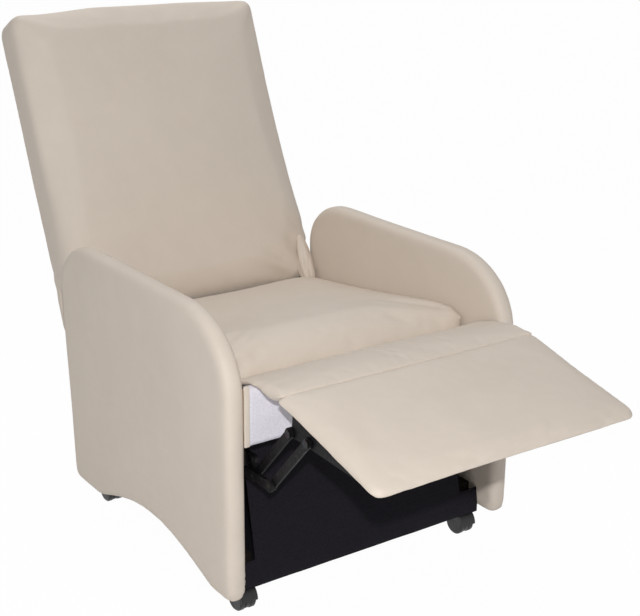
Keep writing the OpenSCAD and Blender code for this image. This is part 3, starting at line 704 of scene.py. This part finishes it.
# %% The footrest's pad
pad = smooth(remesh(from_cad("foot_pad", "footrest_pad"), 0.004), 3)
x, v, w = on_pad(points(pad))
x = x * 1.031 * (1 + 0.06 * ramp(v, 24, 0) ** 2 * ramp(np.abs(x), 225, 245))
to_rim = ramp(np.minimum(270 - np.abs(x), 251 - v), 0, 30)
deepest = 14 + 20 * ease(to_rim)
w = np.where(w > 8, 8 + (w - 8) * (deepest - 8) / 26, w)
longer = 19 * ramp(v, 70, 0) ** 1.5 * (1 - 0.8 * ramp(w, 4, 20))
set_points(pad, from_pad(x, v - longer, w))
smooth(pad, 2)
x, v, w = on_pad(points(pad))
stuff(pad, w > 13, pressure=2.5, cap=0.007)
narrow(pad, 0.2735)
finer(pad)
dimple(pad, (0.0009, 0.1, 11), (0.0003, 0.02, 12))
x, v, w = on_pad(points(pad))
dress(pad, CREAM, "footrest", np.abs(w - 27) / 1000, (v + x) / 1000)
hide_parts("footrest_pad")
tell(pad)

# %% [markdown]
# ## Footrest board
# The board under the pad keeps its CAD shape, but its lower front edge is cut back, which keeps it out of
# sight behind the pad's thin rim.

# %% The footrest's board
board = from_cad("foot_board", "footrest_board")
x, v, w = on_pad(points(board))
set_points(board, from_pad(x, np.where((v > 200) & (w > 39), v - 30, v), w))
# the board lies in the shade under the pad, so it takes the pine with painted shade
dress(board, SHADED_PINE, "footrest")
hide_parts("footrest_board")
tell(board)

# %% [markdown]
# ## The flap between the seat and the footrest
# A loose flap of cover runs from under the seat's nose, over the front rail, to the footrest. It is a
# rounded strip: a grid is given the flap's outline from above and its rise from the side, a copy of it
# closes the strip below, and the pressure then fills it. It narrows towards the footrest.

# %% The flap
def along_curve(value, curve):
    """a smooth reading of a curve written as (place, height) pairs"""
    places, heights = zip(*sorted(curve))
    fine = np.linspace(places[0], places[-1], 200)
    level = np.interp(fine, places, heights)
    for _ in range(60):
        level[1:-1] = (level[:-2] + 2 * level[1:-1] + level[2:]) / 4
    return np.interp(value, fine, level)


# places along the flap, each with a height or with half the width there
FLAP_TOP = [(99, 409), (85, 418), (60, 431), (35, 442), (10, 449), (-12, 453), (-35, 456), (-55, 457.5),
            (-74, 456.5), (-88, 454.3)]
FLAP_LOW = [(99, 404), (85, 410), (60, 421), (36, 430), (12, 439), (-8, 442), (-24, 441), (-38, 437),
            (-54, 433), (-70, 436), (-80, 444), (-88, 449.5)]
FLAP_HALF = [(99, 270), (20, 270.5), (-25, 270), (-60, 269), (-88, 268)]
b = bmesh.new()
bmesh.ops.create_grid(b, x_segments=150, y_segments=50, size=1)
lower = bmesh.ops.duplicate(b, geom=list(b.verts) + list(b.edges) + list(b.faces))
for v in lower["geom"]:
    if isinstance(v, bmesh.types.BMVert):
        v.co.z = -1
bmesh.ops.bridge_loops(b, edges=[e for e in b.edges if e.is_boundary])
flap = built("seat_flap", b)
u = points(flap)
y = 5.5 + 93.5 * u[:, 1]
edge = np.clip((1 - np.abs(u[:, 0])) * 30, 0, 1) ** 0.5
z_top, z_low = along_curve(y, FLAP_TOP), along_curve(y, FLAP_LOW)
z_mid = (z_top + z_low) / 2
z = z_mid + (np.where(u[:, 2] > -0.5, z_top, z_low) - z_mid) * edge
set_points(flap, np.stack([u[:, 0] * along_curve(y, FLAP_HALF), y - DEPTH, z], axis=1) / 1000)
smooth(remesh(flap, 0.003), 3)
x, y, z = workshop(points(flap)).T
stuff(flap, (z < along_curve(y, FLAP_LOW) + 4) | (y > 92), pressure=1.6, cap=0.004, slack=0.002)
finer(flap)
co = points(flap)
x, y, z = workshop(co).T
height = 0.0007 * ripples(co, 0.06, (2.2, 1, 1), seed=14)
height += 0.0016 * ramp(np.abs(x), 215, 255) * ripples(co, 0.02, (1.6, 1, 1), seed=19)
dent(flap, height)
dress(flap, CREAM)
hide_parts("flap_root", "flap")
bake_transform(flap)
tell(flap)

# %% [markdown]
# ## Lining and dust covers
# The front rail is wrapped in white felt, stapled along its lower edge, with a narrow strip of the cream
# cover between it and each side panel. Black dust cloth closes the base in front, behind and below, and is
# cut away where the footrest's links pass. Below the base, and in front where it reaches up behind the
# links, its black also stands in as painted shade for the inside of the base. Each is a sheet: a grid bent
# over the line it hangs on, with slight waves, and then given a thickness. The grid's flat size is what
# would be cut from the roll.

# %% A sheet of cloth
def cloth_sheet(name, line, half, thick, cell, waves, seed, keep=None):
    """a sheet bent over a line of (y, z) places, from -half to half across"""
    line = np.array(line, float)
    steps = np.linalg.norm(np.diff(line, axis=0), axis=1)
    reach = np.concatenate([[0], np.cumsum(steps)])
    cols, rows = max(2, round(2 * half / cell)), max(2, round(reach[-1] / cell))
    b = bmesh.new()
    bmesh.ops.create_grid(b, x_segments=cols, y_segments=rows, size=1)
    for v in b.verts:
        go = (v.co.y + 1) / 2 * reach[-1]
        v.co = (v.co.x * half, np.interp(go, reach, line[:, 0]), np.interp(go, reach, line[:, 1]))
    if keep:
        gone = [f for f in b.faces if not keep(f.calc_center_median())]
        bmesh.ops.delete(b, geom=gone, context="FACES")
    area = sum(f.calc_area() for f in b.faces) / 1e6
    bmesh.ops.recalc_face_normals(b, faces=b.faces)
    for v in b.verts:
        v.co += v.normal * waves * (noise.noise(v.co / 55 + Vector((seed, 0, 0))) +
                                    0.35 * noise.noise(v.co / 17 + Vector((0, seed, 0))))
    for v in b.verts:
        v.co = at(*v.co)
    bmesh.ops.solidify(b, geom=list(b.faces), thickness=thick / 1000)
    sheet = built(name, b)
    tell(sheet)
    return sheet


# %% The lining and the dust covers
lining = cloth_sheet(
    "lining_felt", [(4.6, 336), (4.2, 380), (4.0, 418), (5, 431), (9, 436.5), (16, 437.5),
                                  (27, 432)], 268.5, 1.0, 6, 0.8, 3)
dress(lining, LINING, "base")
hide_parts("rail_lining")

# the front cloth reaches up behind the links to the seat: there its black stands in as painted shade
front_cloth = cloth_sheet(
    "front_cloth", [(44.5, 46), (44.5, 64), (47, 78), (92, 318)], 274, 1.4, 7, 1.0, 5,
    keep=lambda c: abs(c.x) < 234 or c.z < 98)
dress(front_cloth, DUST_CLOTH, "base")
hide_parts("front_cover")

rear_cloth = cloth_sheet("rear_cloth", [(584, 67), (584, 289)], 274, 1.4, 8, 1.0, 7)
dress(rear_cloth, DUST_CLOTH, "base")
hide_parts("rear_cover")

# the cloth under the base is guessed, and its black also stands in as painted shade under the seat
under_cloth_and_shade = cloth_sheet("under_cloth_and_shade", [(63, 66), (581, 76.4)], 225, 1.4, 10, 1.2, 9)
dress(under_cloth_and_shade, DUST_CLOTH, "base")
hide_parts("dust_cloth")

# %% [markdown]
# ## Strips beside the lining
# Where the lining ends short of the side panels, the cover's turned edge shows as a narrow upright strip.
# A strip is a cube drawn out, with its long edges bevelled, and a little uneven.

# %% The strips
for side, name in ((-1, "strip_left"), (1, "strip_right")):
    b = bmesh.new()
    bmesh.ops.create_cube(b, size=1)
    bmesh.ops.scale(b, vec=(10.0, 4.6, 106), verts=b.verts)
    bmesh.ops.subdivide_edges(b, edges=[e for e in b.edges if e.calc_length() > 50], cuts=24)
    bmesh.ops.bevel(b, geom=[e for e in b.edges if e.calc_length() > 3 and len(e.link_faces) == 2 and
                             e.calc_face_angle(0) > 1], offset=1.3, segments=3, profile=0.5, material=-1,
                    affect="EDGES")
    for v in b.verts:
        v.co = at(side * 274 + v.co.x, 3.6 + v.co.y, 388 + v.co.z)
    strip = built(name, b)
    dent(strip, 0.0006 * ripples(points(strip), 0.02, seed=31 + side))
    dress(strip, CREAM, "base")
    tell(strip)

# %% [markdown]
# ## Floor
# The chair stands on a pale floor, which is white where it is looked at. To the soft light that it throws
# back on the chair it is a plain pale surface, and a trace of the chair's shadow stays on it.

# %% Floor
def in_sight(f):
    """1 where the background is looked at: by the camera, in a reflection or through something clear"""
    seen = f.node("LightPath", out="Is Camera Ray")
    for ray in ("Is Glossy Ray", "Is Transmission Ray"):
        seen = f.sum("MAXIMUM", seen, f.node("LightPath", out=ray))
    return seen


f = Finish("pale_floor")
place = f.node("TexCoord", out="Object")
pale = f.blend(f.noise(place, 2.0), (0.9, 0.9, 0.9, 1), (0.93, 0.93, 0.93, 1))
lit = f.node("BsdfDiffuse", {}, {"Color": pale})
glow = f.node("Emission", {}, {"Color": (1, 1, 1, 1), "Strength": 1.0})
f.node("OutputMaterial", {}, {"Surface": f.node("MixShader", {}, {0: in_sight(f) * 0.98, 1: lit, 2: glow})})
b = bmesh.new()
bmesh.ops.create_grid(b, x_segments=2, y_segments=2, size=30)
floor = built("floor", b)
floor.data.materials.append(f.material)
print("the floor is", round(floor.dimensions.x), "m across")

# %% [markdown]
# ## Sky and lamps
# A small flash by the camera draws the footrest's sharp shadow on the black cloth, as in the photo, and a
# wide lamp behind lifts the seat. An even sky fills the rest, at a level where a colour renders about as
# it is written. Like the floor, the sky is white only where it is looked at.

# %% Sky and lamps
world = scene.world or bpy.data.worlds.new("studio")
scene.world = world
world.use_nodes = True
f = Finish(tree=world.node_tree)
plain = f.node("Background", {}, {"Color": (1, 1, 1, 1), "Strength": 0.38})
white = f.node("Background", {}, {"Color": (1, 1, 1, 1), "Strength": 1.0})
f.node("OutputWorld", {}, {"Surface": f.node("MixShader", {}, {0: in_sight(f), 1: plain, 2: white})})


def lamp(name, place, aim, size, power):
    data = bpy.data.lights.new(name, "AREA")
    data.shape, data.size, data.energy = "DISK", size, power
    obj = bpy.data.objects.new(name, data)
    obj.location = place
    obj.rotation_mode = "QUATERNION"
    obj.rotation_quaternion = (Vector(aim) - Vector(place)).to_track_quat("-Z", "Y")
    scene.collection.objects.link(obj)


lamp("flash", (-1.25, -1.93, 1.38), (0, 0, 0.5), 0.05, 30)
lamp("high_lamp", (0.3, 1.2, 2.6), (0, -0.1, 0.45), 1.2, 15)
print("lamps of", [round(light.energy) for light in bpy.data.lights], "W")

# %% [markdown]
# ## Camera
# The camera stands where the photographer's did: to the left of the chair's front, a little above its top,
# and turned a hair out of level. Its lens is fitted to the photo, so the render can be laid on the photo.

# %% Camera
def stand(place, turn, rise, roll, lens):
    """a camera at a place, looking back along its direction"""
    a, e, r = (math.radians(v) for v in (turn, rise, roll))
    back_way = Vector((math.sin(a) * math.cos(e), -math.cos(a) * math.cos(e), math.sin(e)))
    right = Vector((0, 0, 1)).cross(back_way).normalized()
    up = back_way.cross(right)
    across = right * math.cos(r) + up * math.sin(r)
    tall = up * math.cos(r) - right * math.sin(r)
    data = bpy.data.cameras.new("camera")
    data.sensor_fit, data.sensor_width, data.lens = "HORIZONTAL", 36.0, lens
    obj = bpy.data.objects.new("camera", data)
    turned = Matrix((across, tall, back_way)).transposed().to_4x4()
    obj.matrix_world = Matrix.Translation(place) @ turned
    scene.collection.objects.link(obj)
    return obj


EYE = Vector((-1.2970, -1.6543 - DEPTH / 1000, 1.2211))
scene.camera = stand(EYE, turn=-35.115, rise=18.381, roll=0.489, lens=73.49)
scene.view_settings.view_transform = "Standard"
print("the camera is", round(EYE.length, 2), "m away")
